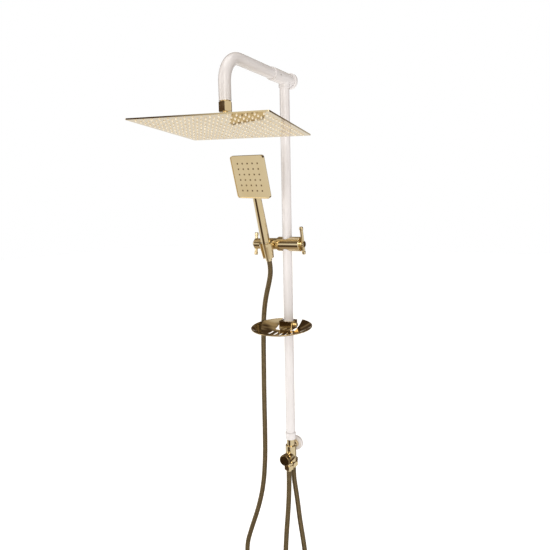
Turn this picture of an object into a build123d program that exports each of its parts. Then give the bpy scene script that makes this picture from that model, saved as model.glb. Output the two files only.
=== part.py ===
from build123d import *
import math
import os

os.makedirs("parts", exist_ok=True)

# Millimetres. The origin is the centre of the upper wall disc's back face, +Y goes into the wall, +Z up.

# ---- overall sizes ----
wall_gap = 36.0          # wall face to the riser's axis
column_drop = 958.5      # arm axis down to the riser's lower end
arm_reach = 264.0        # riser's axis to the axis of the arm's drop end
arm_drop = 99.0          # arm axis down to the end of the arm's tube
arm_bend = 60.0          # centreline radius of the arm's bend
riser_d = 25.0
riser_wall = 1.2
arm_d = 27.0
arm_wall = 1.5

# ---- rain head ----
head_side = 300.0
head_corner = 2.5
head_depth = 3.0         # thickness at the edge
plate_wall = 1.0
head_yaw = 11.8          # turned a little on its ball joint
head_roll = 1.4
head_nod = -0.6
nozzle_rows = 16
nozzle_pitch = 18.0
nozzle_hole_r = 1.9
nozzle_tip = 2.4         # how far a nozzle stands out of the face
ball_r = 10.0
ball_below_arm = 37.0    # end of the arm's tube down to the ball's centre
face_below_ball = 20.0   # ball's centre down to the face's underside
ring_wall = 1.7
neck_r = 6.0
nut_flats = 27.0
nut_height = 20.6

# ---- handset holder ----
holder_drop = 421.0      # arm axis down to the holder's axis
holder_wall = 4.9        # metal around the slider's bush
holder_left = 34.5       # holder body, riser's axis to its left end
holder_right = 41.0
holder_neck_r = 15.5     # the body's narrower left end, beside the cradle
holder_neck = 9.0
lug_width = 21.0
sleeve_length = 41.4
sleeve_r = 14.5
hub_length = 4.3         # the sleeve's end hub, which holds its bar
knob_r = 8.5
knob_length = 10.0
bar_r = 4.2
bar_long = 46.0
bar_short = 27.0
bolt_r = 4.0
clamp_r = 5.0

# ---- cradle and handset ----
cradle_out = 33.6        # holder's axis forward to the cradle's axis
cradle_tilt = 18.0       # the handset leans forward
cradle_top = 5.0
cradle_low = 37.0        # cradle's reach below the holder's axis
cradle_r_top = 18.0
cradle_r_low = 14.6
cone_r_top = 13.0        # hose nut's cone
cone_r_low = 10.4
cone_top = 9.0
cone_low = 37.5
slot_width = 16.5
handle_length = 130.0    # holder's axis up to the spray plate's lower edge
handle_r_top = 11.0
handle_r_low = 12.2
spray_side = 108.0
spray_corner = 7.0
spray_depth = 9.5
spray_front = 13.0       # handle's axis forward to the spray face
spray_turn = -10.0       # handset turned in its cradle
spray_columns = 5
spray_rows = 6
spray_pitch_across = 16.5
spray_pitch_up = 13.8
spray_hole_r = 2.2

# ---- soap dish ----
dish_drop = 634.0        # arm axis down to the dish's rim
dish_r = 80.0
dish_depth = 20.0
dish_wall = 1.2
dish_out = 46.0          # riser's axis forward to the dish's centre
dish_turn = 5.0
dish_lean = 4.6          # it leans forward on its bracket
dish_notch = 58.0        # width of the cut-out at the riser
clamp_side = 6.5         # clamp block, from the riser's surface sideways, forward and back
clamp_ahead = 10.5
clamp_behind = 4.5
clamp_height = 22.0
clamp_rise = 8.0         # clamp's top above the rim

# ---- diverter and lower bracket ----
nipple_r = 11.0
neck_length = 20.0       # riser's lower end down to the diverter's barrel
post_below = 26.5        # and down to the lower bracket's axis
valve_below = 50.5       # and down to the valve's axis
outlet_below = 64.5      # and down to the top of the outlet block
outlet_height = 6.0
outlet_thread = 9.5
barrel_r = 15.0
outlet_gap = 27.0        # between the two outlets
outlet_r = 12.8
thread_r = 10.3          # half-inch pipe thread
bonnet_r = 14.5
dial_r = 15.5
dial_front = 39.0        # riser's axis forward to the dial's face

# ---- wall brackets ----
disc_r = 20.0
disc_depth = 9.0
post_r = 8.0
screw_r = 2.75
tee_wall = 2.4           # metal around the arm
boss_wall = 2.0          # and around the riser
tee_front = 67.0         # riser's axis forward to the tee's mouth
tee_boss_low = 21.0
stud_gap = 2.0           # a bracket's stud stops this short of the pipe
socket_depth = 40.0

# ---- hoses ----
hose_d = 14.0
hose_nut_flats = 24.0
hose_nut_height = 12.0
ferrule_wall = 1.4       # ferrule's surface outside the hose's
ferrule_length = 9.0      # cone nut's end to the hose
outlet_ferrule = 6.0     # outlet nut's end to the hose
supply_washer_r = 9.0

# ---- fits ----
slip = 0.1               # radial clearance of parts that are pushed together and stay
run_fit = 0.05           # radial clearance of shafts and bushes that turn or slide
free_gap = 0.4           # clearance of faces that pass each other

bush_wall = 1.6

riser_y = -wall_gap
riser_low = -column_drop
barrel_top = column_drop + neck_length
post_drop = column_drop + post_below
valve_drop = column_drop + valve_below
outlet_top = column_drop + outlet_below
outlet_low = outlet_top + outlet_height
tee_r = arm_d / 2 + slip + tee_wall
tee_boss_r = riser_d / 2 + slip + boss_wall
bush_r = riser_d / 2 + run_fit + bush_wall
holder_r = bush_r + run_fit + holder_wall
clamp_width = riser_d + 2 * clamp_side
clamp_front = riser_d / 2 + clamp_ahead
clamp_back = riser_d / 2 + clamp_behind
ferrule_r = hose_d / 2 + ferrule_wall
tee_back = wall_gap - disc_depth - free_gap
tail_y = riser_y - arm_reach
head_mid_z = -arm_drop - ball_below_arm
socket_r = ball_r + ring_wall + 2 * 0.3

up = Plane((0, riser_y, 0))
forward = Plane(origin=(0, riser_y, 0), x_dir=(1, 0, 0), z_dir=(0, -1, 0))
holder_axis = Plane(origin=(0, riser_y, -holder_drop), x_dir=(0, -1, 0), z_dir=(1, 0, 0))
valve_axis = Plane(origin=(0, riser_y, -valve_drop), x_dir=(1, 0, 0), z_dir=(0, -1, 0))
tail = Plane((0, tail_y, -arm_drop))
tail_turned = Location((0, tail_y, head_mid_z), (0, 0, head_yaw))
head_plane = Plane(tail_turned * Location((0, 0, 0), (head_nod, head_roll, 0)))
lean = math.radians(cradle_tilt)
cradle_plane = Plane(
    origin=(-holder_left - lug_width / 2 - slip, riser_y - cradle_out, -holder_drop),
    x_dir=(1, 0, 0),
    z_dir=(0, -math.sin(lean), math.cos(lean)),
)
spray_plane = Plane(cradle_plane.location * Location((0, 0, 0), (0, 0, spray_turn)))
dish_plane = Plane((0, riser_y, -dish_drop)).rotated((0, 0, dish_turn))


def turned(outline, base):
    """A turned piece: outline holds (radius, height) corners about the base plane's normal."""
    section = Plane(origin=base.origin, x_dir=base.x_dir, z_dir=-base.y_dir)
    with BuildPart() as piece:
        with BuildSketch(section):
            with BuildLine():
                Polyline(*outline, close=True)
            make_face()
        revolve(axis=Axis(base.origin, base.z_dir))
    return piece


def ball_zone(inner, outer, low, high, base):
    """A ring cut from a spherical shell between two heights."""
    section = Plane(origin=base.origin, x_dir=base.x_dir, z_dir=-base.y_dir)
    with BuildPart() as piece:
        with BuildSketch(section):
            Circle(outer)
            Circle(inner, mode=Mode.SUBTRACT)
            with Locations((outer, (low + high) / 2)):
                Rectangle(2 * outer, high - low, mode=Mode.INTERSECT)
        revolve(axis=Axis(base.origin, base.z_dir))
    return piece


def hex_nut(flats, bore, height, base, rim=1.2):
    """A hexagon nut with turned-down corners, standing on the base plane."""
    corner = flats / math.sqrt(3)
    with BuildPart() as piece:
        with BuildSketch(base):
            RegularPolygon(corner, 6)
            Circle(bore, mode=Mode.SUBTRACT)
        extrude(amount=height)
        crown = turned(
            [
                (0, 0),
                (flats / 2, 0),
                (corner + 0.1, rim),
                (corner + 0.1, height - rim),
                (flats / 2, height),
                (0, height),
            ],
            base,
        )
        add(crown.part, mode=Mode.INTERSECT)
    return piece


def at(base, dx=0.0, dy=0.0, dz=0.0):
    """The same plane, moved along its own axes."""
    return Plane(
        origin=base.origin + base.x_dir * dx + base.y_dir * dy + base.z_dir * dz,
        x_dir=base.x_dir,
        z_dir=base.z_dir,
    )


def save(piece, name):
    piece.part.label = name
    export_step(piece.part, f"parts/{name}.step")


# ---- wall brackets ----


def wall_post(drop, reach):
    """A stud with a base plate, screwed to the wall through its middle."""
    base = Plane(origin=(0, 0, -drop), x_dir=(1, 0, 0), z_dir=(0, -1, 0))
    plate = 3.0
    driver_r = 4.6
    return turned(
        [
            (screw_r, 0),
            (disc_r - 3, 0),
            (disc_r - 3, plate),
            (post_r, plate),
            (post_r, reach),
            (driver_r, reach),
            (driver_r, plate),
            (screw_r, plate),
        ],
        base,
    )


def wall_disc(drop):
    """A cover disc that slides over the stud and hides its base plate."""
    base = Plane(origin=(0, 0, -drop), x_dir=(1, 0, 0), z_dir=(0, -1, 0))
    skin = 1.6
    rounding = 2.4
    with BuildPart() as disc:
        with BuildSketch(base):
            Circle(disc_r)
        extrude(amount=disc_depth)
        fillet(disc.edges().filter_by(GeomType.CIRCLE).sort_by(Axis.Y)[0], rounding)
        with BuildSketch(base):
            Circle(disc_r - skin)
        extrude(amount=disc_depth - skin, mode=Mode.SUBTRACT)
        with BuildSketch(base):
            Circle(post_r + slip)
        extrude(amount=disc_depth, mode=Mode.SUBTRACT)
    return disc


tee_stud = wall_gap - riser_d / 2 - stud_gap
low_stud = wall_gap - nipple_r - stud_gap
top_wall_post = wall_post(0.0, tee_stud)
top_wall_disc = wall_disc(0.0)
low_wall_post = wall_post(post_drop, low_stud)
low_wall_disc = wall_disc(post_drop)

# ---- tee, riser and arm ----

riser_top = 3.0
channel_r = 8.0

with BuildPart() as tee_body:
    with BuildSketch(forward.offset(-tee_back)):
        Circle(tee_r)
    extrude(amount=tee_back + tee_front)
    fillet(tee_body.edges().filter_by(GeomType.CIRCLE), 1.2)
    with BuildSketch(up.offset(-tee_boss_low)):
        Circle(tee_boss_r)
    extrude(amount=tee_boss_low)
    with BuildSketch(forward.offset(tee_front - socket_depth)):
        Circle(arm_d / 2 + slip)
    extrude(amount=socket_depth, mode=Mode.SUBTRACT)
    with BuildSketch(up.offset(-tee_boss_low)):
        Circle(riser_d / 2 + slip)
    extrude(amount=tee_boss_low - riser_top, mode=Mode.SUBTRACT)
    with BuildSketch(forward):
        Circle(channel_r)
    extrude(amount=tee_front - socket_depth, mode=Mode.SUBTRACT)
    with BuildSketch(up.offset(-riser_top)):
        Circle(channel_r)
    extrude(amount=riser_top, mode=Mode.SUBTRACT)
    with BuildSketch(Plane(origin=(0, 0, 0), x_dir=(1, 0, 0), z_dir=(0, -1, 0))):
        Circle(post_r + slip)
    extrude(amount=tee_stud + slip, mode=Mode.SUBTRACT)
    # a shallow turned groove behind the riser
    groove = turned(
        [(tee_r - 0.7, -1.2), (tee_r + 1, -1.2), (tee_r + 1, 0.2), (tee_r - 0.7, 0.2)],
        at(forward, dz=-2.0),
    )
    add(groove.part, mode=Mode.SUBTRACT)
    screw_hole = Plane(origin=(0, riser_y - 44, -1), x_dir=(0, 1, 0), z_dir=(1, 0, 0))
    with BuildSketch(screw_hole):
        Circle(2.5 + slip)
    extrude(amount=tee_r + 1, mode=Mode.SUBTRACT)

grub = turned(
    [(0.0, 0), (2.5, 0), (2.5, tee_r - arm_d / 2 - 1.0), (1.3, tee_r - arm_d / 2 - 1.0),
     (1.3, 0.8), (0, 0.8)],
    at(screw_hole, dz=arm_d / 2 + slip),
)

with BuildPart() as riser_pipe:
    with BuildSketch(up.offset(riser_low)):
        Circle(riser_d / 2)
        Circle(riser_d / 2 - riser_wall, mode=Mode.SUBTRACT)
    extrude(amount=column_drop - riser_top - 1.0)

riser_seal = turned(
    [
        (channel_r, -riser_top - 1.0),
        (riser_d / 2, -riser_top - 1.0),
        (riser_d / 2, -riser_top),
        (channel_r, -riser_top),
    ],
    up,
)

arm_start = riser_y - tee_front + socket_depth - 2.0
with BuildPart() as arm_pipe:
    with BuildLine() as arm_path:
        FilletPolyline((0, arm_start, 0), (0, tail_y, 0), (0, tail_y, -arm_drop), radius=arm_bend)
    arm_end = Plane(origin=(0, arm_start, 0), x_dir=(1, 0, 0), z_dir=(0, -1, 0))
    with BuildSketch(arm_end):
        Circle(arm_d / 2)
    sweep(path=arm_path.line)
    with BuildSketch(arm_end):
        Circle(arm_d / 2 - arm_wall)
    sweep(path=arm_path.line, mode=Mode.SUBTRACT)

arm_seal = turned(
    [
        (channel_r, 0),
        (arm_d / 2, 0),
        (arm_d / 2, 2.0),
        (channel_r, 2.0),
    ],
    at(forward, dz=tee_front - socket_depth),
)

nipple_depth = 15.0
nipple_bore = 7.5
arm_nipple = turned(
    [
        (nipple_bore, 12),
        (arm_d / 2 - arm_wall, 12),
        (arm_d / 2 - arm_wall, 0),
        (thread_r, 0),
        (thread_r, -nipple_depth),
        (nipple_bore, -nipple_depth),
    ],
    tail,
)

# ---- ball joint and rain head ----

nut_top = 2.0
nut_low = nut_top + nut_height
with BuildPart() as ball_nut:
    body = hex_nut(nut_flats, thread_r + slip, nut_height, at(tail, dz=-nut_low))
    add(body.part)
    with BuildSketch(tail.offset(-nut_low)):
        Circle(thread_r + slip + 1)
    extrude(amount=nut_low - nipple_depth - 2.0)
    with BuildSketch(tail.offset(-ball_below_arm)):
        Circle(neck_r)
    extrude(amount=ball_below_arm - nut_low)
    with Locations(tail.offset(-ball_below_arm).location):
        Sphere(ball_r)
    with BuildSketch(tail.offset(-ball_below_arm - ball_r)):
        Circle(3.5)
    extrude(amount=ball_below_arm + ball_r - nipple_depth, mode=Mode.SUBTRACT)

inlet_filter = turned(
    [
        (3.5, 0.2),
        (thread_r - 0.6, 0.2),
        (thread_r - 0.6, 1.8),
        (3.5, 1.8),
    ],
    at(tail, dz=-nipple_depth - 2.0),
)

ring_in = ball_r + 0.3
ring_out = ring_in + ring_wall
ball_seat = ball_zone(ring_in, ring_out, -8.6, -3.6, head_plane)
ball_grip = ball_zone(ring_in, ring_out, 2.2, 6.6, head_plane)

collar_r = 17.0
boss_r = 14.2
collar_top = 8.6
collar_low = -7.0
with BuildPart() as head_collar:
    shell = turned(
        [
            (0, collar_low),
            (collar_r, collar_low),
            (collar_r, collar_top - 2),
            (collar_r - 2, collar_top),
            (0, collar_top),
        ],
        head_plane,
    )
    add(shell.part)
    with BuildSketch(head_plane.offset(collar_low)):
        Circle(boss_r)
    extrude(amount=-collar_low, mode=Mode.SUBTRACT)
    with Locations(head_plane.location):
        Sphere(socket_r, mode=Mode.SUBTRACT)

plate_top = head_depth - face_below_ball
boss_flange = 6.0
inlet_r = 4.0
with BuildPart() as head_boss:
    shell = turned(
        [
            (0, plate_top),
            (32, plate_top),
            (30, plate_top + 2.0),
            (boss_r + 6, plate_top + boss_flange),
            (boss_r, collar_low - 1.0),
            (boss_r, 0),
            (0, 0),
        ],
        head_plane,
    )
    add(shell.part)
    with Locations(head_plane.location):
        Sphere(socket_r, mode=Mode.SUBTRACT)
    with BuildSketch(head_plane.offset(plate_top)):
        Circle(inlet_r)
    extrude(amount=10, mode=Mode.SUBTRACT)

face_low = -face_below_ball
with BuildPart() as head_top_plate:
    with BuildSketch(head_plane.offset(face_low)):
        RectangleRounded(head_side, head_side, head_corner)
    extrude(amount=head_depth)
    with BuildSketch(head_plane.offset(face_low)):
        RectangleRounded(head_side - 2 * plate_wall, head_side - 2 * plate_wall, head_corner - plate_wall)
    extrude(amount=head_depth - plate_wall, mode=Mode.SUBTRACT)
    with BuildSketch(head_plane.offset(face_low)):
        Circle(inlet_r)
    extrude(amount=head_depth, mode=Mode.SUBTRACT)

face_side = head_side - 2 * plate_wall - 2 * slip
with BuildPart() as head_face_plate:
    with BuildSketch(head_plane.offset(face_low)):
        RectangleRounded(face_side, face_side, head_corner - plate_wall)
        with GridLocations(nozzle_pitch, nozzle_pitch, nozzle_rows, nozzle_rows):
            Circle(nozzle_hole_r, mode=Mode.SUBTRACT)
    extrude(amount=plate_wall)


def nozzle(base, bore_r, tip, wall):
    """One soft rubber nozzle: a tip below the face, a shank in its hole and a flange behind it."""
    return turned(
        [
            (0.5, -tip),
            (bore_r - 0.55, -tip),
            (bore_r + 0.25, -0.05),
            (bore_r - 0.05, -0.05),
            (bore_r - 0.05, wall + 0.05),
            (bore_r + 0.4, wall + 0.05),
            (bore_r + 0.4, wall + 0.5),
            (0.5, wall + 0.5),
        ],
        base,
    )


rain_tip = nozzle(Plane.XY, nozzle_hole_r, nozzle_tip, plate_wall)
with BuildPart() as head_nozzles:
    with Locations(head_plane.offset(face_low).location):
        with GridLocations(nozzle_pitch, nozzle_pitch, nozzle_rows, nozzle_rows):
            add(rain_tip.part)

# ---- handset holder on the riser ----

slider_bush = turned(
    [
        (riser_d / 2 + run_fit, -holder_drop - 13),
        (bush_r, -holder_drop - 13),
        (bush_r, -holder_drop + 13),
        (riser_d / 2 + run_fit, -holder_drop + 13),
    ],
    up,
)

with BuildPart() as holder_body:
    with BuildSketch(holder_axis.offset(holder_neck - holder_left)):
        Circle(holder_r)
    extrude(amount=holder_left + holder_right - holder_neck)
    fillet(holder_body.edges().filter_by(GeomType.CIRCLE), 1.5)
    with BuildSketch(holder_axis.offset(-holder_left)):
        Circle(holder_neck_r)
    extrude(amount=holder_neck + 1.0)
    with BuildSketch(up.offset(-holder_drop - holder_r)):
        Circle(bush_r + run_fit)
    extrude(amount=2 * holder_r, mode=Mode.SUBTRACT)
    with BuildSketch(holder_axis):
        Circle(clamp_r + run_fit)
    extrude(amount=holder_right, mode=Mode.SUBTRACT)
    with BuildSketch(holder_axis.offset(-holder_left)):
        Circle(bolt_r)
    extrude(amount=holder_left - bush_r - 2.0, mode=Mode.SUBTRACT)

pad_inner = bush_r + 0.3
clamp_pad = turned(
    [(0, pad_inner), (clamp_r - 0.3, pad_inner), (clamp_r - 0.3, pad_inner + 4), (0, pad_inner + 4)],
    holder_axis,
)


def t_bar(base, up_reach, down_reach):
    """A cross bar with fatter rounded ends; the base plane's x is the bar's own direction."""
    line = Plane(origin=base.origin, x_dir=base.z_dir, z_dir=base.x_dir)
    end = 7.0
    swell = 1.0
    half = [
        (0, -down_reach),
        (bar_r, -down_reach),
        (bar_r + swell, -down_reach + 2),
        (bar_r + swell, -down_reach + end),
        (bar_r, -down_reach + end + 1.5),
        (bar_r, up_reach - end - 1.5),
        (bar_r + swell, up_reach - end),
        (bar_r + swell, up_reach - 2),
        (bar_r, up_reach),
        (0, up_reach),
    ]
    return turned(half, line)


bar_out = knob_length - bar_r - 0.6
right_hub = at(holder_axis, dz=holder_right + free_gap)
clamp_lean = math.radians(12.5)
right_bar_plane = Plane(
    origin=right_hub.origin + right_hub.z_dir * bar_out,
    x_dir=(0, -math.sin(clamp_lean), math.cos(clamp_lean)),
    z_dir=(1, 0, 0),
)
clamp_bar = t_bar(right_bar_plane, bar_long, bar_short)
with BuildPart() as clamp_knob:
    spindle = turned(
        [
            (0, pad_inner + 4 - holder_right - free_gap + 0.1),
            (clamp_r, pad_inner + 4 - holder_right - free_gap + 0.1),
            (clamp_r, 0),
            (knob_r, 0),
            (knob_r, knob_length - 1),
            (knob_r - 1, knob_length),
            (0, knob_length),
        ],
        right_hub,
    )
    add(spindle.part)
    add(clamp_bar.part, mode=Mode.SUBTRACT)

# ---- cradle, its lug and the sleeve that clamps it ----

lug_right = -holder_left - slip
lug_left = lug_right - lug_width
lug_r = 15.5
with BuildPart() as cradle:
    cone = turned(
        [
            (0, -cradle_low),
            (cradle_r_low, -cradle_low),
            (cradle_r_top, -2),
            (cradle_r_top, cradle_top),
            (0, cradle_top),
        ],
        cradle_plane,
    )
    add(cone.part)
    with BuildSketch(holder_axis.offset(lug_left)):
        Circle(lug_r)
    extrude(amount=lug_width)
    with BuildSketch(holder_axis.offset(lug_left + 3)):
        with Locations((cradle_out / 2, 0)):
            Rectangle(cradle_out, 2 * lug_r - 6)
    extrude(amount=lug_width - 6)
    hollow = turned(
        [
            (0, -cradle_low - 1),
            (cone_r_low + free_gap, -cradle_low - 1),
            (cone_r_low + free_gap, -cone_low),
            (cone_r_top + free_gap, cone_top),
            (cone_r_top + free_gap, cone_top + lug_r),
            (0, cone_top + lug_r),
        ],
        cradle_plane,
    )
    add(hollow.part, mode=Mode.SUBTRACT)
    with BuildSketch(cradle_plane.offset(-cradle_low - 1)):
        with Locations((0, -cradle_r_top)):
            Rectangle(slot_width, 2 * cradle_r_top)
    extrude(amount=cradle_low + cradle_top + 2, mode=Mode.SUBTRACT)
    with BuildSketch(holder_axis.offset(lug_left)):
        Circle(bolt_r + run_fit)
    extrude(amount=lug_width, mode=Mode.SUBTRACT)

sleeve_right = lug_left - 1.0
sleeve_left = sleeve_right - sleeve_length
bar_mid = sleeve_left + 1.9
with BuildPart() as cradle_sleeve:
    with BuildSketch(holder_axis.offset(sleeve_left)):
        Circle(sleeve_r)
    extrude(amount=sleeve_length)
    fillet(cradle_sleeve.edges().filter_by(GeomType.CIRCLE), 1.5)
    with BuildSketch(holder_axis.offset(sleeve_left - hub_length)):
        Circle(knob_r)
    extrude(amount=hub_length + 2.0)
    with BuildSketch(holder_axis.offset(bar_mid + bar_r + 1.0)):
        Circle(bolt_r + slip)
    extrude(amount=sleeve_length, mode=Mode.SUBTRACT)

friction_washer = turned(
    [(bolt_r + run_fit, 0.05), (lug_r - 2, 0.05), (lug_r - 2, 0.95), (bolt_r + run_fit, 0.95)],
    at(holder_axis, dz=sleeve_right),
)

tilt_lean = math.radians(-6.0)
left_bar_plane = Plane(
    origin=holder_axis.origin + holder_axis.z_dir * bar_mid,
    x_dir=(0, -math.sin(tilt_lean), math.cos(tilt_lean)),
    z_dir=(1, 0, 0),
)
tilt_bar = t_bar(left_bar_plane, bar_short + 3.5, bar_short + 3.5)
with BuildPart() as tilt_sleeve:
    add(cradle_sleeve.part)
    add(tilt_bar.part, mode=Mode.SUBTRACT)

bolt_left = bar_mid + bar_r + 2.0
bolt_right = -bush_r - 3.0
tilt_bolt = turned(
    [(0, bolt_left), (bolt_r, bolt_left), (bolt_r, bolt_right), (0, bolt_right)],
    holder_axis,
)

# ---- handset ----

cone_nut = turned(
    [
        (5.0, -cone_low),
        (cone_r_low, -cone_low),
        (cone_r_top, cone_top - 4),
        (cone_r_top, cone_top),
        (thread_r + slip, cone_top),
        (thread_r + slip, cone_top - 10),
        (5.0, cone_top - 10),
    ],
    cradle_plane,
)

cone_washer = turned(
    [
        (5.0, cone_top - 9.9),
        (thread_r - 0.4, cone_top - 9.9),
        (thread_r - 0.4, cone_top - 8.1),
        (5.0, cone_top - 8.1),
    ],
    cradle_plane,
)

cone_ferrule = turned(
    [
        (4.0, -cone_low - ferrule_length),
        (ferrule_r - 0.8, -cone_low - ferrule_length),
        (ferrule_r, -cone_low - ferrule_length + 1.2),
        (ferrule_r, -cone_low),
        (4.0, -cone_low),
    ],
    cradle_plane,
)

back_y = -spray_front + spray_depth
spray_mid = handle_length + spray_side / 2
handle_top = handle_length + 24.0
handle_start = cone_top + 0.3
spigot_low = cone_top - 8.0
with BuildPart() as handset_handle:
    tube = turned(
        [
            (0, spigot_low),
            (thread_r, spigot_low),
            (thread_r, handle_start),
            (handle_r_low, handle_start),
            (handle_r_low, handle_start + 14),
            (handle_r_top, handle_length - 12),
            (handle_r_top, handle_top - 6),
            (handle_r_top - 4, handle_top),
            (0, handle_top),
        ],
        spray_plane,
    )
    add(tube.part)
    with BuildSketch(spray_plane.offset(spigot_low)):
        Circle(thread_r - 2.3)
    extrude(amount=handle_top - spigot_low - 5.0, mode=Mode.SUBTRACT)
    with BuildSketch(spray_plane.offset(handle_length)):
        with Locations((0, back_y - spray_depth / 2)):
            Rectangle(spray_side, spray_depth)
    extrude(amount=spray_side, mode=Mode.SUBTRACT)

face_sketch_plane = Plane(
    origin=spray_plane.origin + spray_plane.z_dir * spray_mid - spray_plane.y_dir * spray_front,
    x_dir=spray_plane.x_dir,
    z_dir=-spray_plane.y_dir,
)
spray_skin = 1.5
rim_depth = 1.4
with BuildPart() as handset_shell:
    with BuildSketch(face_sketch_plane.offset(-spray_depth)):
        RectangleRounded(spray_side, spray_side, spray_corner)
    extrude(amount=spray_depth)
    back_face = handset_shell.faces().sort_by(Axis(face_sketch_plane.origin, face_sketch_plane.z_dir))[0]
    fillet(back_face.edges(), 3.0)
    with BuildSketch(face_sketch_plane.offset(-spray_depth + spray_skin)):
        RectangleRounded(spray_side - 2 * spray_skin, spray_side - 2 * spray_skin, spray_corner - spray_skin)
    extrude(amount=spray_depth, mode=Mode.SUBTRACT)
    with BuildSketch(Plane(
        origin=spray_plane.origin + spray_plane.z_dir * (handle_length + 12),
        x_dir=spray_plane.x_dir,
        z_dir=-spray_plane.y_dir,
    )):
        Circle(4.0)
    extrude(amount=-back_y + spray_skin + 1.0, mode=Mode.SUBTRACT)

spray_inner = spray_side - 2 * spray_skin - 2 * slip
face_wall = 2.0
with BuildPart() as handset_face:
    with BuildSketch(face_sketch_plane.offset(-rim_depth - face_wall)):
        RectangleRounded(spray_inner, spray_inner, spray_corner - spray_skin - slip)
        with GridLocations(spray_pitch_across, spray_pitch_up, spray_columns, spray_rows):
            Circle(spray_hole_r, mode=Mode.SUBTRACT)
    extrude(amount=face_wall)

face_up = Plane(
    origin=face_sketch_plane.origin - face_sketch_plane.z_dir * rim_depth,
    x_dir=face_sketch_plane.x_dir,
    z_dir=-face_sketch_plane.z_dir,
)
hand_tip = nozzle(Plane.XY, spray_hole_r, 1.2, face_wall)
with BuildPart() as handset_nozzles:
    with Locations(face_up.location):
        with GridLocations(spray_pitch_across, spray_pitch_up, spray_columns, spray_rows):
            add(hand_tip.part)

# ---- soap dish ----

clamp_top = clamp_rise
clamp_bottom = clamp_rise - clamp_height
dish_bush = turned(
    [
        (riser_d / 2 + run_fit, clamp_bottom),
        (bush_r, clamp_bottom),
        (bush_r, clamp_top),
        (riser_d / 2 + run_fit, clamp_top),
    ],
    dish_plane,
)

with BuildPart() as dish_clamp:
    with BuildSketch(dish_plane.offset(clamp_bottom)):
        with Locations((0, (clamp_back - clamp_front) / 2)):
            RectangleRounded(clamp_width, clamp_front + clamp_back, 3.0)
        Circle(bush_r + run_fit, mode=Mode.SUBTRACT)
    extrude(amount=clamp_height)
    clamp_screw_plane = Plane(
        origin=dish_plane.origin + dish_plane.z_dir * (clamp_top + clamp_bottom) / 2,
        x_dir=dish_plane.z_dir,
        z_dir=dish_plane.x_dir,
    )
    with BuildSketch(clamp_screw_plane):
        Circle(2.5)
    extrude(amount=clamp_width, mode=Mode.SUBTRACT)

dish_screw = turned(
    [
        (0, bush_r + 0.3),
        (2.4, bush_r + 0.3),
        (2.4, clamp_width / 2 + 0.1),
        (5.5, clamp_width / 2 + 0.1),
        (5.5, clamp_width / 2 + 5.1),
        (4.7, clamp_width / 2 + 6.0),
        (0, clamp_width / 2 + 6.0),
    ],
    clamp_screw_plane,
)

dish_mid = Plane(at(dish_plane, dy=-dish_out).location * Location((0, 0, 0), (dish_lean, 0, 0)))
bowl_r = (dish_r**2 + dish_depth**2) / (2 * dish_depth)
strap = 1.6
strap_foot = 16.0
with BuildPart() as soap_dish:
    section = Plane(origin=dish_mid.origin, x_dir=dish_mid.x_dir, z_dir=-dish_mid.y_dir)
    rim_r = 1.5
    with BuildSketch(section):
        with Locations((0, bowl_r - dish_depth)):
            Circle(bowl_r)
            Circle(bowl_r - dish_wall, mode=Mode.SUBTRACT)
        with Locations((dish_r / 2, -dish_depth / 2)):
            Rectangle(dish_r, dish_depth, mode=Mode.INTERSECT)
        with Locations((dish_r - rim_r, -rim_r / 2)):
            Circle(rim_r)
    revolve(axis=Axis(dish_mid.origin, dish_mid.z_dir))
    with BuildSketch(dish_plane.offset(-2 * dish_depth)):
        with Locations((0, dish_r / 2 - clamp_front - strap - 2 * slip)):
            Rectangle(dish_notch, dish_r)
    extrude(amount=3 * dish_depth, mode=Mode.SUBTRACT)
    # drain slots
    with BuildSketch(dish_mid.offset(-2 * dish_depth)):
        with Locations((0, -8)):
            with GridLocations(14, 0, 5, 1):
                SlotCenterToCenter(26, 4.5, rotation=90)
    extrude(amount=3 * dish_depth, mode=Mode.SUBTRACT)

# an angle bracket: a strap on the clamp's front and a foot under the bowl
with BuildPart() as dish_bracket:
    with BuildSketch(section):
        with Locations((0, bowl_r - dish_depth)):
            Circle(bowl_r + run_fit + strap)
            Circle(bowl_r + run_fit, mode=Mode.SUBTRACT)
        with Locations((dish_r / 2, -dish_depth)):
            Rectangle(dish_r, dish_depth, mode=Mode.INTERSECT)
    revolve(axis=Axis(dish_mid.origin, dish_mid.z_dir))
    foot_y = -clamp_front - slip - strap_foot / 2
    with BuildSketch(dish_plane.offset(-2 * dish_depth)):
        with Locations((0, foot_y)):
            Rectangle(clamp_width - 8, strap_foot)
    extrude(amount=3 * dish_depth, mode=Mode.INTERSECT)
    with BuildSketch(at(dish_plane, dy=-clamp_front - slip - strap / 2, dz=-dish_depth)):
        Rectangle(clamp_width - 8, strap)
    extrude(amount=dish_depth - 2)

# ---- diverter ----

nipple_top = 14.0
nipple_seat = barrel_top + 12.0
riser_nipple = turned(
    [
        (nipple_bore, riser_low + nipple_top),
        (riser_d / 2 - riser_wall, riser_low + nipple_top),
        (riser_d / 2 - riser_wall, riser_low),
        (nipple_r, riser_low),
        (nipple_r, -nipple_seat),
        (nipple_bore, -nipple_seat),
    ],
    up,
)

collar_wall = 1.8
riser_collar = turned(
    [
        (riser_d / 2 + slip, riser_low + 17.5),
        (riser_d / 2 + collar_wall - 0.8, riser_low + 17.5),
        (riser_d / 2 + collar_wall, riser_low + 16.5),
        (riser_d / 2 + collar_wall, riser_low - 1.0),
        (nipple_r + slip, riser_low - 1.0),
        (nipple_r + slip, riser_low - slip),
        (riser_d / 2 + slip, riser_low - slip),
    ],
    up,
)

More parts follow.
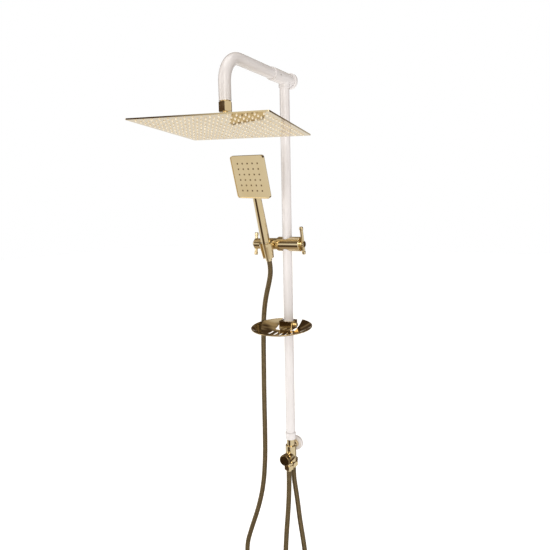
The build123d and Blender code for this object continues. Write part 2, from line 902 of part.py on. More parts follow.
half_gap = outlet_gap / 2
pocket_front = 24.5
pocket_depth = 17.0
cartridge_r = 9.5
post_boss_r = 10.8
with BuildPart() as diverter_body:
    with BuildSketch(up.offset(-outlet_top)):
        Circle(barrel_r)
    extrude(amount=outlet_top - barrel_top)
    with BuildSketch(up.offset(-outlet_low)):
        SlotCenterToCenter(outlet_gap, 2 * outlet_r, rotation=90)
    extrude(amount=outlet_low - outlet_top)
    fillet(diverter_body.edges().group_by(Axis.Z)[0], 1.2)
    fillet(diverter_body.edges().group_by(Axis.Z)[-1], 1.2)
    with BuildSketch(valve_axis):
        Circle(bonnet_r)
    extrude(amount=pocket_front)
    with BuildSketch(Plane(origin=(0, riser_y, -post_drop), x_dir=(1, 0, 0), z_dir=(0, 1, 0))):
        Circle(post_boss_r)
    extrude(amount=wall_gap - disc_depth - free_gap)
    with BuildSketch(up.offset(-outlet_low - outlet_thread)):
        with GridLocations(0, outlet_gap, 1, 2):
            Circle(thread_r)
    extrude(amount=outlet_thread)
    # waterways
    with BuildSketch(up.offset(-nipple_seat)):
        Circle(nipple_r + slip)
    extrude(amount=nipple_seat - barrel_top + post_boss_r, mode=Mode.SUBTRACT)
    with BuildSketch(up.offset(-valve_drop)):
        Circle(6.0)
    extrude(amount=valve_drop - nipple_seat, mode=Mode.SUBTRACT)
    with BuildSketch(valve_axis.offset(pocket_front - pocket_depth)):
        Circle(cartridge_r + slip)
    extrude(amount=pocket_depth, mode=Mode.SUBTRACT)
    with BuildSketch(up.offset(-outlet_low - outlet_thread)):
        with GridLocations(0, outlet_gap, 1, 2):
            Circle(5.0)
    extrude(amount=outlet_low + outlet_thread - valve_drop, mode=Mode.SUBTRACT)
    with BuildSketch(Plane(origin=(0, 0, -post_drop), x_dir=(1, 0, 0), z_dir=(0, -1, 0))):
        Circle(post_r + slip)
    extrude(amount=low_stud + slip, mode=Mode.SUBTRACT)

stem_r = 3.5
diverter_cartridge = turned(
    [
        (0, pocket_front - pocket_depth + slip),
        (cartridge_r, pocket_front - pocket_depth + slip),
        (cartridge_r, pocket_front - 2),
        (stem_r + 2.5, pocket_front - 2),
        (stem_r + 2.5, pocket_front + 2.0),
        (stem_r + run_fit, pocket_front + 2.0),
        (stem_r + run_fit, pocket_front - 10),
        (0, pocket_front - 10),
    ],
    valve_axis,
)

bonnet_ring = turned(
    [
        (stem_r + 2.5 + slip, pocket_front - 1.9),
        (cartridge_r, pocket_front - 1.9),
        (cartridge_r, pocket_front + 0.1),
        (bonnet_r - 1.5, pocket_front + 0.1),
        (bonnet_r - 1.5, pocket_front + 3.2),
        (bonnet_r - 2.5, pocket_front + 4.0),
        (stem_r + 2.5 + slip, pocket_front + 4.0),
    ],
    valve_axis,
)

dial_back = pocket_front + 4.4
stem_end = dial_front - 5.0
valve_stem = turned(
    [
        (0, pocket_front - 9.9),
        (stem_r, pocket_front - 9.9),
        (stem_r, stem_end),
        (0, stem_end),
    ],
    valve_axis,
)

with BuildPart() as diverter_dial:
    with BuildSketch(valve_axis.offset(dial_back)):
        Circle(dial_r)
    extrude(amount=dial_front - dial_back)
    fillet(diverter_dial.edges().filter_by(GeomType.CIRCLE).sort_by(Axis.Y)[0], 3.0)
    fillet(diverter_dial.edges().filter_by(GeomType.CIRCLE).sort_by(Axis.Y)[-1], 1.2)
    with BuildSketch(valve_axis.offset(dial_back)):
        Circle(stem_r)
    extrude(amount=stem_end - dial_back, mode=Mode.SUBTRACT)
    with BuildSketch(valve_axis.offset(dial_front - 1.0)):
        with Locations((0, dial_r * 0.62)):
            SlotCenterToCenter(5.0, 1.8, rotation=90)
    extrude(amount=1.0, mode=Mode.SUBTRACT)

nut_z = -outlet_low - 1.5
flange = 1.1
lip = 2.0
lip_top = nut_z - hose_nut_height + lip
with BuildPart() as outlet_nuts:
    for side in (-half_gap, half_gap):
        nut_base = at(up, dy=side, dz=nut_z - hose_nut_height)
        nut = hex_nut(hose_nut_flats, ferrule_r + slip, hose_nut_height, nut_base)
        add(nut.part)
    with BuildSketch(up.offset(lip_top)):
        with GridLocations(0, outlet_gap, 1, 2):
            Circle(thread_r + slip)
    extrude(amount=hose_nut_height, mode=Mode.SUBTRACT)
with BuildPart() as outlet_ferrules:
    for side in (-half_gap, half_gap):
        ferrule = turned(
            [
                (4.0, -hose_nut_height - outlet_ferrule),
                (ferrule_r - 0.8, -hose_nut_height - outlet_ferrule),
                (ferrule_r, -hose_nut_height - outlet_ferrule + 1.2),
                (ferrule_r, -hose_nut_height + lip + 0.1),
                (thread_r - 0.2, -hose_nut_height + lip + 0.1),
                (thread_r - 0.2, -hose_nut_height + lip + 0.1 + flange),
                (4.0, -hose_nut_height + lip + 0.1 + flange),
            ],
            at(up, dy=side, dz=nut_z),
        )
        add(ferrule.part)

# ---- hoses, with the points of their routes ----

ferrule_end = nut_z - hose_nut_height - outlet_ferrule
handset_exit = cradle_plane.origin - cradle_plane.z_dir * (cone_low + ferrule_length)
# Each point is across, out of the wall, and how far below the holder's axis or below the outlets.
handset_hang = [
    (-45.1, -55.1, 44.6),
    (-45.1, -47.07, 69.3),
    (-55.2, -41.4, 105.0),
    (-70.5, -36.0, 148.0),
    (-80.0, -32.5, 196.0),
    (-83.5, -31.5, 256.0),
    (-85.0, -31.0, 336.0),
    (-86.0, -31.5, 434.0),
    (-86.5, -30.5, 534.0),
]
handset_loop = [
    (-88.5, -30.0, -0.5),
    (-97.0, -30.5, 81.5),
    (-116.0, -31.0, 154.5),
    (-142.0, -31.5, 225.5),
    (-161.0, -31.0, 285.5),
    (-156.0, -30.5, 347.5),
    (-114.0, -30.0, 397.5),
    (-46.0, -28.5, 407.5),
    (8.0, -27.5, 371.5),
    (33.0, -26.0, 312.5),
    (34.5, -25.5, 249.5),
    (26.5, -24.5, 199.5),
    (18.0, -23.5, 154.5),
    (12.0, -23.0, 104.5),
    (5.0, -22.6, 59.5),
    (0.0, -22.5, 27.5),
    (0.0, -22.5, 0.2),
]
handset_route = [(x, y, -holder_drop - down) for x, y, down in handset_hang]
handset_route += [(x, y, ferrule_end - down) for x, y, down in handset_loop]
supply_hang = [
    (0.0, -49.5, 0.2),
    (0.0, -49.5, 43.5),
    (-3.0, -51.0, 109.5),
    (-10.5, -53.5, 196.5),
    (-15.0, -55.5, 296.5),
    (-13.5, -56.0, 401.5),
    (-15.0, -56.0, 501.5),
    (-14.5, -56.0, 596.5),
]
supply_route = [(x, y, ferrule_end - down) for x, y, down in supply_hang]


def hose(route, name):
    """A tube along straight runs joined by tangent arcs."""
    corners = [Vector(*p) for p in route]
    runs = [b - a for a, b in zip(corners, corners[1:])]
    radii = []
    for before, after in zip(runs, runs[1:]):
        turn = math.radians(before.get_angle(after))
        radii.append(0.45 * min(before.length, after.length) / math.tan(turn / 2))
    with BuildPart() as tube:
        with BuildLine() as path:
            FilletPolyline(*route, radius=radii)
        with BuildSketch(Plane(origin=corners[0], z_dir=runs[0])):
            Circle(hose_d / 2)
        sweep(path=path.line)
    length = sum(edge.length for edge in path.line.edges())
    ratio = tube.part.volume / (math.pi * (hose_d / 2) ** 2 * length)
    print(name, "length", round(length, 1), "volume over section times length", round(ratio, 4))
    print(name, "radii", [round(r) for r in radii])
    print(name, "runs", [round(r.length) for r in runs])
    return tube


print("handset exit", handset_exit, "ferrule end z", ferrule_end)
handset_hose = hose(handset_route, "handset_hose")
supply_hose = hose(supply_route, "supply_hose")

# ---- the supply hose's loose end, as it lies on the route's last run ----

loose_end = Vector(*supply_route[-1])
supply_end = Plane(origin=loose_end, z_dir=loose_end - Vector(*supply_route[-2]))
supply_ferrule = turned(
    [
        (4.0, 0),
        (ferrule_r - 0.8, 0),
        (ferrule_r, 1.2),
        (ferrule_r, 20),
        (thread_r - 1.2, 20),
        (thread_r - 1.2, 22),
        (4.0, 22),
    ],
    supply_end,
)
supply_nut = hex_nut(hose_nut_flats, ferrule_r + slip, hose_nut_height, at(supply_end, dz=18.0))
thread_bore_r = 9.3
with BuildPart() as supply_end_nut:
    add(supply_nut.part)
    with BuildSketch(supply_end.offset(19.9)):
        Circle(thread_bore_r)
    extrude(amount=hose_nut_height, mode=Mode.SUBTRACT)
    # relief behind the thread, where the flange and the washer sit
    with BuildSketch(supply_end.offset(19.9)):
        Circle(thread_bore_r + 0.5)
    extrude(amount=4.5, mode=Mode.SUBTRACT)
supply_end_washer = turned(
    [(4.5, 22.3), (supply_washer_r, 22.3), (supply_washer_r, 24.3), (4.5, 24.3)],
    supply_end,
)

# ---- write every piece ----

pieces = {
    "top_wall_post": top_wall_post,
    "top_wall_disc": top_wall_disc,
    "low_wall_post": low_wall_post,
    "low_wall_disc": low_wall_disc,
    "tee_body": tee_body,
    "arm_grub_screw": grub,
    "riser_pipe": riser_pipe,
    "riser_seal": riser_seal,
    "arm_pipe": arm_pipe,
    "arm_seal": arm_seal,
    "arm_nipple": arm_nipple,
    "ball_nut": ball_nut,
    "inlet_filter": inlet_filter,
    "ball_seat": ball_seat,
    "ball_grip": ball_grip,
    "head_collar": head_collar,
    "head_boss": head_boss,
    "head_top_plate": head_top_plate,
    "head_face_plate": head_face_plate,
    "head_nozzles": head_nozzles,
    "slider_bush": slider_bush,
    "holder_body": holder_body,
    "clamp_pad": clamp_pad,
    "clamp_knob": clamp_knob,
    "clamp_bar": clamp_bar,
    "cradle": cradle,
    "friction_washer": friction_washer,
    "tilt_sleeve": tilt_sleeve,
    "tilt_bar": tilt_bar,
    "tilt_bolt": tilt_bolt,
    "cone_nut": cone_nut,
    "cone_washer": cone_washer,
    "cone_ferrule": cone_ferrule,
    "handset_handle": handset_handle,
    "handset_shell": handset_shell,
    "handset_face": handset_face,
    "handset_nozzles": handset_nozzles,
    "dish_bush": dish_bush,
    "dish_clamp": dish_clamp,
    "dish_screw": dish_screw,
    "dish_bracket": dish_bracket,
    "soap_dish": soap_dish,
    "riser_nipple": riser_nipple,
    "riser_collar": riser_collar,
    "diverter_body": diverter_body,
    "diverter_cartridge": diverter_cartridge,
    "bonnet_ring": bonnet_ring,
    "valve_stem": valve_stem,
    "diverter_dial": diverter_dial,
    "outlet_nuts": outlet_nuts,
    "outlet_ferrules": outlet_ferrules,
    "handset_hose": handset_hose,
    "supply_hose": supply_hose,
    "supply_ferrule": supply_ferrule,
    "supply_end_nut": supply_end_nut,
    "supply_end_washer": supply_end_washer,
}
for name, piece in pieces.items():
    save(piece, name)
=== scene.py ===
import math
import bpy
from mathutils import Matrix, Vector


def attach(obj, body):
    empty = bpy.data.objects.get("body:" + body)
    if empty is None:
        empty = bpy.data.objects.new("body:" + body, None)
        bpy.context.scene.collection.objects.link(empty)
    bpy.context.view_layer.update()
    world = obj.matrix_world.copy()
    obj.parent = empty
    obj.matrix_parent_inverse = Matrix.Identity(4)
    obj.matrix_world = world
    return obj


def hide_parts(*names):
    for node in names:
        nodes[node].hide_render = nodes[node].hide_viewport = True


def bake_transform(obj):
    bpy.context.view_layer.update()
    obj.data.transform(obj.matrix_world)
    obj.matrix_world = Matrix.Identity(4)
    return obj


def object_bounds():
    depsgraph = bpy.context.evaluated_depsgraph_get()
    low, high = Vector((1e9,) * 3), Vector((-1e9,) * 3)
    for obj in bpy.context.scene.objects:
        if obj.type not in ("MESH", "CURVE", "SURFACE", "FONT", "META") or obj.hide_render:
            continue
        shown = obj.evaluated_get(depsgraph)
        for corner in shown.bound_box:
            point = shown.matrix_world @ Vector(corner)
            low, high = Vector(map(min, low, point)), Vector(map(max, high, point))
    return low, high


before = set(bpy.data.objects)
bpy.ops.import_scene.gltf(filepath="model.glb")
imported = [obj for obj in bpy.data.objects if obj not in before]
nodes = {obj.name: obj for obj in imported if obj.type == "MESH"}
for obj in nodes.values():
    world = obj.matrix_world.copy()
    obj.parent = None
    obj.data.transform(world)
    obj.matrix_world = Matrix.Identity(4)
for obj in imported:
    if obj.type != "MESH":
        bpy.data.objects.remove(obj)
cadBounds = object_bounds()
scene = bpy.context.scene
mm = 0.001
print("frame loaded:", len(nodes), "nodes")

view = {
    "place": (0.6598, -1.2380, -0.3375),
    "azimuth": 30.189,      # degrees to the right of straight on
    "pitch": 6.891,         # degrees down
    "roll": -1.206,
    "lens": 33.88,
    "sensor": 36.0,
    "nearest": 0.05,
    "furthest": 60,
}


def aimCamera(v):
    az, dip, roll = (math.radians(v[k]) for k in ("azimuth", "pitch", "roll"))
    ahead = Vector((-math.sin(az) * math.cos(dip), math.cos(az) * math.cos(dip), -math.sin(dip)))
    right = Vector((math.cos(az), math.sin(az), 0))
    up = right.cross(ahead)
    side = right * math.cos(roll) + up * math.sin(roll)
    top = up * math.cos(roll) - right * math.sin(roll)
    data = bpy.data.cameras.new("camera")
    data.lens = v["lens"]
    data.sensor_width = v["sensor"]
    data.clip_start = v["nearest"]
    data.clip_end = v["furthest"]
    camera = bpy.data.objects.new("camera", data)
    turn = Matrix((side, top, -ahead)).transposed()
    camera.matrix_world = Matrix.Translation(Vector(v["place"])) @ turn.to_4x4()
    scene.collection.objects.link(camera)
    scene.camera = camera


aimCamera(view)
print("camera placed")


class Wire:
    def __init__(self, tree, socket):
        self.tree = tree
        self.socket = socket

    def node(self, kind, settings=None, inputs=None, out=0):
        made = self.tree.nodes.new(kind)
        for key, value in (settings or {}).items():
            if key == "stops":
                for spare in range(len(value) - len(made.color_ramp.elements)):
                    made.color_ramp.elements.new(0.5)
                for stop, (place, colour) in zip(made.color_ramp.elements, value):
                    stop.position = place
                    stop.color = colour
            else:
                setattr(made, key, value)
        for key, value in (inputs or {}).items():
            if isinstance(value, Wire):
                self.tree.links.new(value.socket, made.inputs[key])
            else:
                made.inputs[key].default_value = value
        return Wire(self.tree, made.outputs[out])

    def sum(self, operation, a, b):
        return self.node("ShaderNodeMath", {"operation": operation}, {0: a, 1: b})

    def __add__(self, other):
        return self.sum("ADD", self, other)

    def __radd__(self, other):
        return self.sum("ADD", other, self)

    def __sub__(self, other):
        return self.sum("SUBTRACT", self, other)

    def __rsub__(self, other):
        return self.sum("SUBTRACT", other, self)

    def __mul__(self, other):
        return self.sum("MULTIPLY", self, other)

    def __rmul__(self, other):
        return self.sum("MULTIPLY", other, self)

    def mixColour(self, dark, light):
        return self.node("ShaderNodeMix", {"data_type": "RGBA"}, {0: self, 6: dark, 7: light}, out=2)

    def limit(self, low, high, newLow, newHigh):
        return self.node("ShaderNodeMapRange", {"clamp": True}, {
            "Value": self, "From Min": low, "From Max": high, "To Min": newLow, "To Max": newHigh})


def startPaint(name):
    paint = bpy.data.materials.new(name)
    paint.use_nodes = True
    tree = paint.node_tree
    surface = tree.nodes["Principled BSDF"]
    place = tree.nodes.new("ShaderNodeTexCoord")
    return paint, surface, Wire(tree, place.outputs["Object"])


def feed(surface, wires):
    for key, value in wires.items():
        if isinstance(value, Wire):
            value.tree.links.new(value.socket, surface.inputs[key])
        else:
            surface.inputs[key].default_value = value


def cloud(place, scale, detail=2.0, squeeze=(1, 1, 1)):
    spread = place.node("ShaderNodeMapping", {}, {"Vector": place, "Scale": squeeze})
    return place.node("ShaderNodeTexNoise", {}, {"Vector": spread, "Scale": scale, "Detail": detail})


def bump(place, height, strength, distance):
    return place.node("ShaderNodeBump", {}, {
        "Height": height, "Strength": strength, "Distance": distance})


enamel = {
    "colour": (0.80, 0.775, 0.785, 1),
    "shade": (0.755, 0.725, 0.73, 1),
    "roughness": 0.16,
    "roughnessDrift": 0.08,
    "coat": 0.5,
    "coatRoughness": 0.06,
    "driftScale": 9.0,
    "peelScale": 900.0,      # orange peel of the sprayed coat
    "peelStrength": 0.05,
    "peelHeight": 0.2 * mm,
}


def whiteEnamel():
    paint, surface, place = startPaint("whiteEnamel")
    drift = cloud(place, enamel["driftScale"])
    peel = cloud(place, enamel["peelScale"])
    feed(surface, {
        "Base Color": drift.limit(0.35, 0.65, 0, 1).mixColour(enamel["shade"], enamel["colour"]),
        "Roughness": drift * enamel["roughnessDrift"] + enamel["roughness"],
        "Normal": bump(place, peel, enamel["peelStrength"], enamel["peelHeight"]),
        "Coat Weight": enamel["coat"],
        "Coat Roughness": enamel["coatRoughness"],
    })
    return paint


gold = {
    "colour": (0.80, 0.67, 0.43, 1),
    "warm": (0.74, 0.59, 0.34, 1),
    "polish": 0.06,
    "smudge": 0.06,
    "driftScale": 14.0,
    "smudgeScale": 60.0,
    "grainStrength": 0.12,
    "grainHeight": 0.1 * mm,
}
darkGold = {"colour": (0.60, 0.48, 0.29, 1), "warm": (0.50, 0.38, 0.21, 1)}


def polishedGold(name, polish=None, grain=None, tone=gold):
    paint, surface, place = startPaint(name)
    base = gold["polish"] if polish is None else polish
    drift = cloud(place, gold["driftScale"])
    smudge = cloud(place, gold["smudgeScale"], 4.0).limit(0.45, 0.75, 0, 1)
    wires = {
        "Base Color": drift.limit(0.3, 0.7, 0, 1).mixColour(tone["warm"], tone["colour"]),
        "Roughness": smudge * gold["smudge"] + base,
        "Metallic": 1.0,
    }
    if grain:
        lines = cloud(place, grain[0], 2.0, grain[1])
        wires["Normal"] = bump(place, lines, gold["grainStrength"], gold["grainHeight"])
    feed(surface, wires)
    return paint


hoseMetal = {
    "crest": (0.26, 0.195, 0.105, 1),
    # groove colour: painted shade, darkening the gaps between the spiral's coils
    "groove": (0.05, 0.035, 0.02, 1),
    "roughness": 0.2,
    "roughnessDrift": 0.12,
    "roughnessGroove": 0.2,
    "driftScale": 30.0,
}


def hoseGold():
    paint, surface, place = startPaint("hoseGold")
    grooveShadeMask = place.node("ShaderNodeAttribute", {"attribute_name": "groove"}, {}, out=2)
    drift = cloud(place, hoseMetal["driftScale"])
    feed(surface, {
        # base colour darkens towards the groove colour in the spiral's gaps: painted shade in the
        # creases
        "Base Color": grooveShadeMask.limit(0.2, 0.9, 0, 1).mixColour(hoseMetal["crest"], hoseMetal["groove"]),
        "Roughness": (drift * hoseMetal["roughnessDrift"] + hoseMetal["roughness"]
                      + grooveShadeMask * hoseMetal["roughnessGroove"]),
        "Metallic": 1.0,
    })
    return paint


plain = {
    "roughnessDrift": 0.15,
    "bumpFiner": 20,         # how much finer the bumps are than the colour's drift
    "bumpHeight": 0.2 * mm,
}


def plainFinish(name, colour, shade, roughness, metal=0.0, scale=40.0, lumps=0.0):
    paint, surface, place = startPaint(name)
    drift = cloud(place, scale, 3.0)
    wires = {
        "Base Color": drift.limit(0.3, 0.7, 0, 1).mixColour(shade, colour),
        "Roughness": drift * plain["roughnessDrift"] + (roughness - 0.07),
        "Metallic": metal,
    }
    if lumps:
        grit = cloud(place, scale * plain["bumpFiner"])
        wires["Normal"] = bump(place, grit, lumps, plain["bumpHeight"])
    feed(surface, wires)
    return paint


finishes = {
    "enamel": whiteEnamel(),
    "plate": polishedGold("goldPlate", 0.035),
    "gold": polishedGold("goldPolish"),
    "turned": polishedGold("goldTurned", 0.09, (500.0, (1, 1, 0.15))),
    "dish": polishedGold("goldDish", 0.05, (120.0, (1, 1, 1)), darkGold),
    "hose": hoseGold(),
    "steel": plainFinish("zincSteel", (0.62, 0.62, 0.60, 1), (0.48, 0.48, 0.47, 1), 0.32, 1.0),
    "brass": plainFinish("machinedBrass", (0.78, 0.62, 0.33, 1), (0.66, 0.50, 0.25, 1), 0.25, 1.0),
    "rubber": plainFinish("darkRubber", (0.035, 0.03, 0.025, 1), (0.02, 0.018, 0.015, 1), 0.6,
                          lumps=0.2),
    "rainTip": plainFinish("rainTip", (0.92, 0.84, 0.68, 1), (0.82, 0.73, 0.56, 1), 0.45, lumps=0.1),
    "handTip": plainFinish("handTip", (0.22, 0.15, 0.07, 1), (0.15, 0.10, 0.045, 1), 0.45, lumps=0.1),
    # the dial's dark brown base colour is a painted dark reflection on gold
    "dial": plainFinish("dialGoldPaintedReflection", (0.30, 0.21, 0.10, 1), (0.22, 0.15, 0.07, 1), 0.18, 1.0),
    "nylon": plainFinish("whiteNylon", (0.80, 0.80, 0.77, 1), (0.72, 0.72, 0.69, 1), 0.4, lumps=0.1),
    "ceramic": plainFinish("cartridgePlastic", (0.45, 0.46, 0.47, 1), (0.38, 0.39, 0.40, 1), 0.45),
    "mesh": plainFinish("filterMesh", (0.55, 0.55, 0.54, 1), (0.30, 0.30, 0.30, 1), 0.4, 1.0, 300.0),
}

nodeFinish = {
    "enamel": ["top_wall_disc", "low_wall_disc", "tee_body", "riser_pipe", "arm_pipe", "riser_collar"],
    "plate": ["head_top_plate", "head_face_plate", "handset_face", "handset_shell"],
    "gold": ["ball_nut", "head_collar", "head_boss", "cradle", "cone_nut", "dish_clamp",
             "dish_screw", "dish_bracket", "riser_nipple", "diverter_body", "bonnet_ring",
             "outlet_nuts", "supply_end_nut"],
    "turned": ["holder_body", "clamp_knob", "clamp_bar", "tilt_sleeve", "tilt_bar", "handset_handle",
               "cone_ferrule", "outlet_ferrules", "supply_ferrule"],
    "dish": ["soap_dish"],
    "hose": ["handset_hose", "supply_hose"],
    "steel": ["top_wall_post", "low_wall_post", "arm_grub_screw"],
    "brass": ["valve_stem", "tilt_bolt", "arm_nipple"],
    "rubber": ["riser_seal", "arm_seal", "cone_washer", "supply_end_washer"],
    "rainTip": ["head_nozzles"],
    "handTip": ["handset_nozzles"],
    "dial": ["diverter_dial"],
    "nylon": ["ball_seat", "ball_grip", "slider_bush", "clamp_pad", "friction_washer", "dish_bush"],
    "ceramic": ["diverter_cartridge"],
    "mesh": ["inlet_filter"],
}
for finish, names in nodeFinish.items():
    for name in names:
        for materialSlot in nodes[name].material_slots:
            materialSlot.link = "OBJECT"
            materialSlot.material = finishes[finish]
print("finishes on", sum(len(n) for n in nodeFinish.values()), "nodes")


hose = {
    "diameter": 14 * mm,
    "pitch": 3.4 * mm,       # one turn of the locked spiral strip
    "groove": 0.55 * mm,
    "rowsPerTurn": 6,
    "around": 20,
    "pathEvery": 6,          # rows between the points that tell where the tube goes
}
handsetRoute = [
    (-45.1, -55.1, -465.6),
    (-45.1, -47.07, -490.3),
    (-55.2, -41.4, -526.0),
    (-70.5, -36.0, -569.0),
    (-80.0, -32.5, -617.0),
    (-83.5, -31.5, -677.0),
    (-85.0, -31.0, -757.0),
    (-86.0, -31.5, -855.0),
    (-86.5, -30.5, -955.0),
    (-88.5, -30.0, -1048.0),
    (-97.0, -30.5, -1130.0),
    (-116.0, -31.0, -1203.0),
    (-142.0, -31.5, -1274.0),
    (-161.0, -31.0, -1334.0),
    (-156.0, -30.5, -1396.0),
    (-114.0, -30.0, -1446.0),
    (-46.0, -28.5, -1456.0),
    (8.0, -27.5, -1420.0),
    (33.0, -26.0, -1361.0),
    (34.5, -25.5, -1298.0),
    (26.5, -24.5, -1248.0),
    (18.0, -23.5, -1203.0),
    (12.0, -23.0, -1153.0),
    (5.0, -22.6, -1108.0),
    (0.0, -22.5, -1076.0),
    (0.0, -22.5, -1048.7),
]
supplyRoute = [
    (0.0, -49.5, -1048.7),
    (0.0, -49.5, -1092.0),
    (-3.0, -51.0, -1158.0),
    (-10.5, -53.5, -1245.0),
    (-15.0, -55.5, -1345.0),
    (-13.5, -56.0, -1450.0),
    (-15.0, -56.0, -1550.0),
    (-14.5, -56.0, -1645.0),
]


def readRoute(route):
    line = bpy.data.curves.new("route", "CURVE")
    line.dimensions = "3D"
    line.resolution_u = 16
    spline = line.splines.new("NURBS")
    spline.points.add(len(route) - 1)
    for point, place in zip(spline.points, route):
        point.co = (*(c * mm for c in place), 1)
    spline.order_u = 3
    spline.use_endpoint_u = True
    holder = bpy.data.objects.new("route", line)
    scene.collection.objects.link(holder)
    bpy.context.view_layer.update()
    flat = bpy.data.meshes.new_from_object(holder)
    points = [v.co.copy() for v in flat.vertices]
    bpy.data.objects.remove(holder)
    bpy.data.curves.remove(line)
    bpy.data.meshes.remove(flat)
    return points


def measure(points):
    walked = [0.0]
    for a, b in zip(points, points[1:]):
        walked.append(walked[-1] + (b - a).length)
    return walked


def pointAt(points, walked, s):
    s = min(max(s, 0.0), walked[-1])
    i = 1
    while i < len(walked) - 1 and walked[i] < s:
        i += 1
    share = (s - walked[i - 1]) / (walked[i] - walked[i - 1])
    return points[i - 1].lerp(points[i], share)


def spiralTube(name, points, start, end):
    # rows of a tube along the line; the radius follows the strip's helix
    walked = measure(points)
    count = max(4, round((end - start) / hose["pitch"] * hose["rowsPerTurn"]))
    rows = [start + (end - start) * k / count for k in range(count + 1)]
    path = [pointAt(points, walked, s) for s in rows]
    ahead = (pointAt(points, walked, 1 * mm) - points[0]).normalized()
    side = ahead.orthogonal().normalized()
    lead = [pointAt(points, walked, start * k / 200) for k in range(201)] if start > 0 else []
    for a, b in zip(lead, lead[1:]):
        turn = ahead.rotation_difference((b - a).normalized())
        side.rotate(turn)
        ahead = (b - a).normalized()
    verts, grooves = [], []
    outer = hose["diameter"] / 2
    for k, (s, middle) in enumerate(zip(rows, path)):
        nextAhead = (path[min(k + 1, count)] - path[max(k - 1, 0)]).normalized()
        side.rotate(ahead.rotation_difference(nextAhead))
        ahead = nextAhead
        other = ahead.cross(side)
        for j in range(hose["around"]):
            angle = 2 * math.pi * j / hose["around"]
            phase = s / hose["pitch"] - j / hose["around"]
            dip = max(0.0, 0.5 - 0.5 * math.cos(2 * math.pi * phase)) ** 2
            radius = outer - hose["groove"] * dip
            verts.append(middle + (side * math.cos(angle) + other * math.sin(angle)) * radius)
            grooves.append(dip)
    n = hose["around"]
    faces = [(k * n + j, k * n + (j + 1) % n, (k + 1) * n + (j + 1) % n, (k + 1) * n + j)
             for k in range(count) for j in range(n)]
    faces += [tuple(range(n - 1, -1, -1)), tuple(range(count * n, count * n + n))]
    mesh = bpy.data.meshes.new(name)
    mesh.from_pydata(verts, [], faces)
    mesh.polygons.foreach_set("use_smooth", [True] * (len(faces) - 2) + [False] * 2)
    # groove depth per point, kept as the mask for the painted shade in the gaps and for roughness
    grooveShadeMask = mesh.attributes.new("groove", "FLOAT", "POINT")
    grooveShadeMask.data.foreach_set("value", grooves)
    mesh.materials.append(finishes["hose"])
    piece = bpy.data.objects.new(name, mesh)
    scene.collection.objects.link(piece)
    return piece, path


handsetLine = readRoute(handsetRoute)
handsetWalk = measure(handsetLine)
print("handset hose", round(handsetWalk[-1], 4), "m")
# metres along the hose where each stretch starts and ends, and the two parts it runs between
hoseCuts = {
    "hoseTop": (0.0, 0.031, "hose_nut", "cradle"),
    "hoseUpper": (0.031, 0.092, "cradle", "holder"),
    "hoseMiddle": (0.092, 0.146, "holder", "slider"),
    "handsetHose": (0.146, handsetWalk[-1], "slider", "column"),
}
for name, (start, end, first, second) in hoseCuts.items():
    piece, path = spiralTube(name, handsetLine, start, end)
    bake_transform(piece)
    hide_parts("handset_hose")
    lastPath = path

[tuple(p) for p in lastPath[::hose["pathEvery"]]] + [tuple(lastPath[-1])]

supplyLine = readRoute(supplyRoute)
supplyWalk = measure(supplyLine)
supplyPiece, supplyPath = spiralTube("supplyHose", supplyLine, 0.0, supplyWalk[-1])
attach(supplyPiece, "column")
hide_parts("supply_hose")
[tuple(p) for p in supplyPath[::hose["pathEvery"]]] + [tuple(supplyPath[-1])]
print("hoses made")

scene.view_settings.view_transform = "Standard"

studio = {
    "floor": (0.97, 0.97, 0.97, 1),
    "floorGlow": 0.8,
    "floorRoughness": 0.9,
    "floorSize": 30.0,
    "floorGap": 0.004,
    "backdrop": (1.0, 1.0, 1.0, 1),
    "worldStrength": 1.0,
    "lampTint": (1.0, 0.98, 0.95),
    "lampAim": (0, -0.1, -0.6),
}


def layFloor():
    low = cadBounds[0][2] - studio["floorGap"]
    half = studio["floorSize"] / 2
    corners = [(-half, -half, low), (half, -half, low), (half, half, low), (-half, half, low)]
    mesh = bpy.data.meshes.new("floor")
    mesh.from_pydata(corners, [], [(0, 1, 2, 3)])
    paint, surface = startPaint("floorPaint")[:2]
    feed(surface, {"Base Color": studio["floor"], "Roughness": studio["floorRoughness"],
                   "Emission Color": studio["floor"], "Emission Strength": studio["floorGlow"]})
    mesh.materials.append(paint)
    floor = bpy.data.objects.new("floor", mesh)
    scene.collection.objects.link(floor)
    floor.visible_glossy = False


layFloor()

bright = (0.82, 0.80, 0.77, 1)
brown = (0.085, 0.055, 0.032, 1)
# directions round the object, from 0 to 1, where the cards and flags begin and end
cards = {
    "low": [(0.0, bright), (0.112, bright), (0.125, brown), (0.275, brown), (0.30, bright),
            (0.62, bright), (0.66, brown), (0.74, brown), (0.77, bright)],
    "level": [(0.0, bright), (0.63, bright), (0.66, brown), (0.72, brown), (0.75, bright)],
    "high": [(0.0, brown), (0.05, brown), (0.07, bright), (0.12, bright), (0.14, brown),
             (0.20, brown), (0.22, bright), (0.30, bright), (0.32, brown), (0.41, brown),
             (0.43, bright), (0.55, bright), (0.58, brown)],
    "ceilingDark": (0.07, 0.045, 0.026, 1),
    "ceilingPale": (0.50, 0.42, 0.30, 1),
    "ceilingScale": 3.2,
    "under": (0.45, 0.37, 0.28, 1),
}


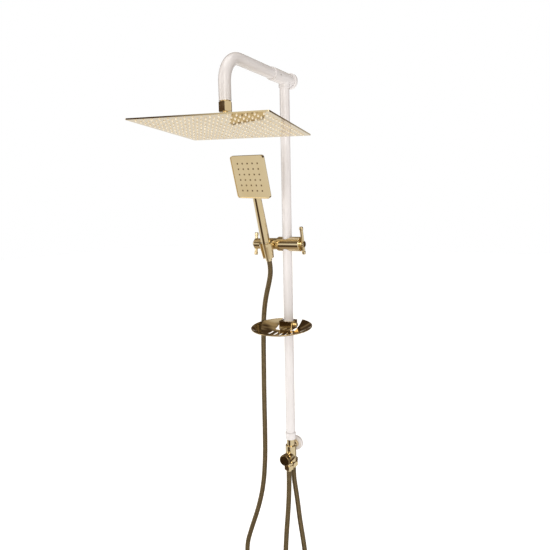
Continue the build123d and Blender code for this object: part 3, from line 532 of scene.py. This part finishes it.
def lightWorld():
    # bands of bright cards and brown flags, by height and then by direction
    world = bpy.data.worlds.new("studioWorld")
    world.use_nodes = True
    scene.world = world
    tree = world.node_tree
    place = Wire(tree, tree.nodes.new("ShaderNodeTexCoord").outputs["Generated"])
    east, north, height = (
        place.node("ShaderNodeSeparateXYZ", {}, {"Vector": place}, out=axis) for axis in range(3))
    around = north.sum("ARCTAN2", north, east) * (0.5 / math.pi) + 0.5
    low, level, high = (
        place.node("ShaderNodeValToRGB", {"stops": cards[band]}, {"Fac": around})
        for band in ("low", "level", "high"))
    ceiling = cloud(place, cards["ceilingScale"], 1.0).limit(0.47, 0.6, 0, 1)
    patches = ceiling.mixColour(cards["ceilingDark"], cards["ceilingPale"])
    view = height.limit(-0.26, -0.18, 0, 1).mixColour(low, level)
    view = height.limit(0.12, 0.18, 0, 1).mixColour(view, high)
    view = height.limit(0.36, 0.46, 0, 1).mixColour(view, patches)
    view = height.limit(0.86, 0.92, 0, 1).mixColour(view, bright)
    view = height.limit(-0.75, -0.6, 1, 0).mixColour(view, cards["under"])
    seen = place.node("ShaderNodeLightPath", {}, {}, out=0)
    view = seen.mixColour(view, studio["backdrop"])
    back = tree.nodes["Background"]
    tree.links.new(view.socket, back.inputs["Color"])
    back.inputs["Strength"].default_value = studio["worldStrength"]


lightWorld()

lamps = {
    "keyBox": {"place": (2.2, -3.2, 1.2), "size": (1.6, 2.4), "power": 42.0},
    "leftBox": {"place": (-2.6, -2.0, 0.4), "size": (1.0, 2.6), "power": 16.0},
    "topBox": {"place": (0.2, -0.8, 2.6), "size": (2.5, 2.5), "power": 26.0},
    "frontBox": {"place": (0.4, -4.0, -0.8), "size": (1.4, 2.4), "power": 16.0},
}
aim = Vector(studio["lampAim"])
for name, lamp in lamps.items():
    data = bpy.data.lights.new(name, "AREA")
    data.shape = "RECTANGLE"
    data.size, data.size_y = lamp["size"]
    data.energy = lamp["power"]
    data.color = studio["lampTint"]
    box = bpy.data.objects.new(name, data)
    place = Vector(lamp["place"])
    turn = (aim - place).to_track_quat("-Z", "Y").to_matrix().to_4x4()
    box.matrix_world = Matrix.Translation(place) @ turn
    scene.collection.objects.link(box)
print("studio lit")

bpy.context.view_layer.update()
